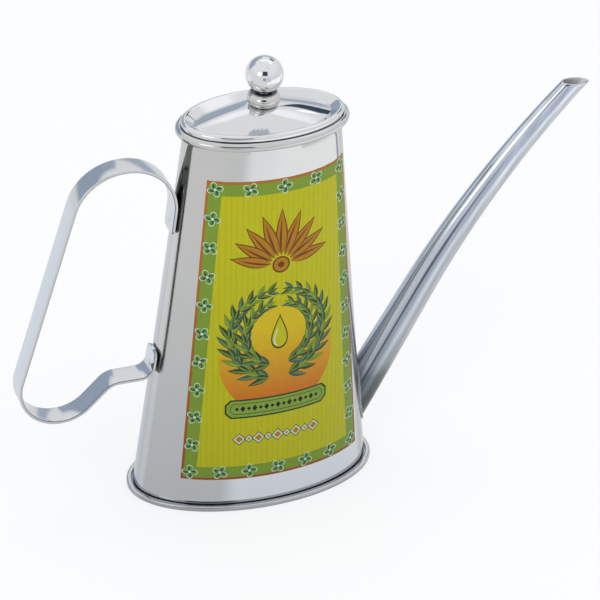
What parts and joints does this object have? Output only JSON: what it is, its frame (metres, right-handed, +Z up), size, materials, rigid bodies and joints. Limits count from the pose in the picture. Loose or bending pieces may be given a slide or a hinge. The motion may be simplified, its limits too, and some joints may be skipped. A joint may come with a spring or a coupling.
{
  "type": "olive oil tin",
  "caption": "Tapered oval oil can with a long curved spout, a bent strap handle, and a lift-off lid with a ball knob.",
  "frame": {"origin": "centre of the oval foot, on the table", "axes": "+X toward the spout, with the handle at -X; -Y is the front with the label; +Z up"},
  "size_m": [0.2428, 0.0584, 0.1978],
  "materials": {
    "wall_steel": "bright rolled stainless sheet",
    "base_steel": "bright pressed stainless sheet",
    "spout_steel": "polished stainless tube",
    "solder": "wiped tin solder",
    "strap_steel": "polished stainless strap",
    "lid_steel": "mirror polished pressed lid",
    "sleeve_steel": "bright rolled band",
    "collar_steel": "turned and polished",
    "ball_steel": "mirror polished ball",
    "screw_steel": "plain machined screw",
    "label_print": "glossy printed label, yellow with a green border"
  },
  "bodies": {
    "can": {"body_wall": "wall_steel", "base_pan": "base_steel", "spout_tube": "spout_steel", "spout_solder": "solder", "handle_strap": "strap_steel", "front_label": "label_print"},
    "lid": {"lid_cover": "lid_steel", "lid_sleeve": "sleeve_steel", "knob_collar": "collar_steel", "knob_ball": "ball_steel", "knob_screw": "screw_steel"}
  },
  "joints": [
    {"name": "lid_lift", "type": "slide", "parent": "can", "child": "lid", "axis": [0, 0, 1], "range_m": [0, 0.06]}
  ]
}
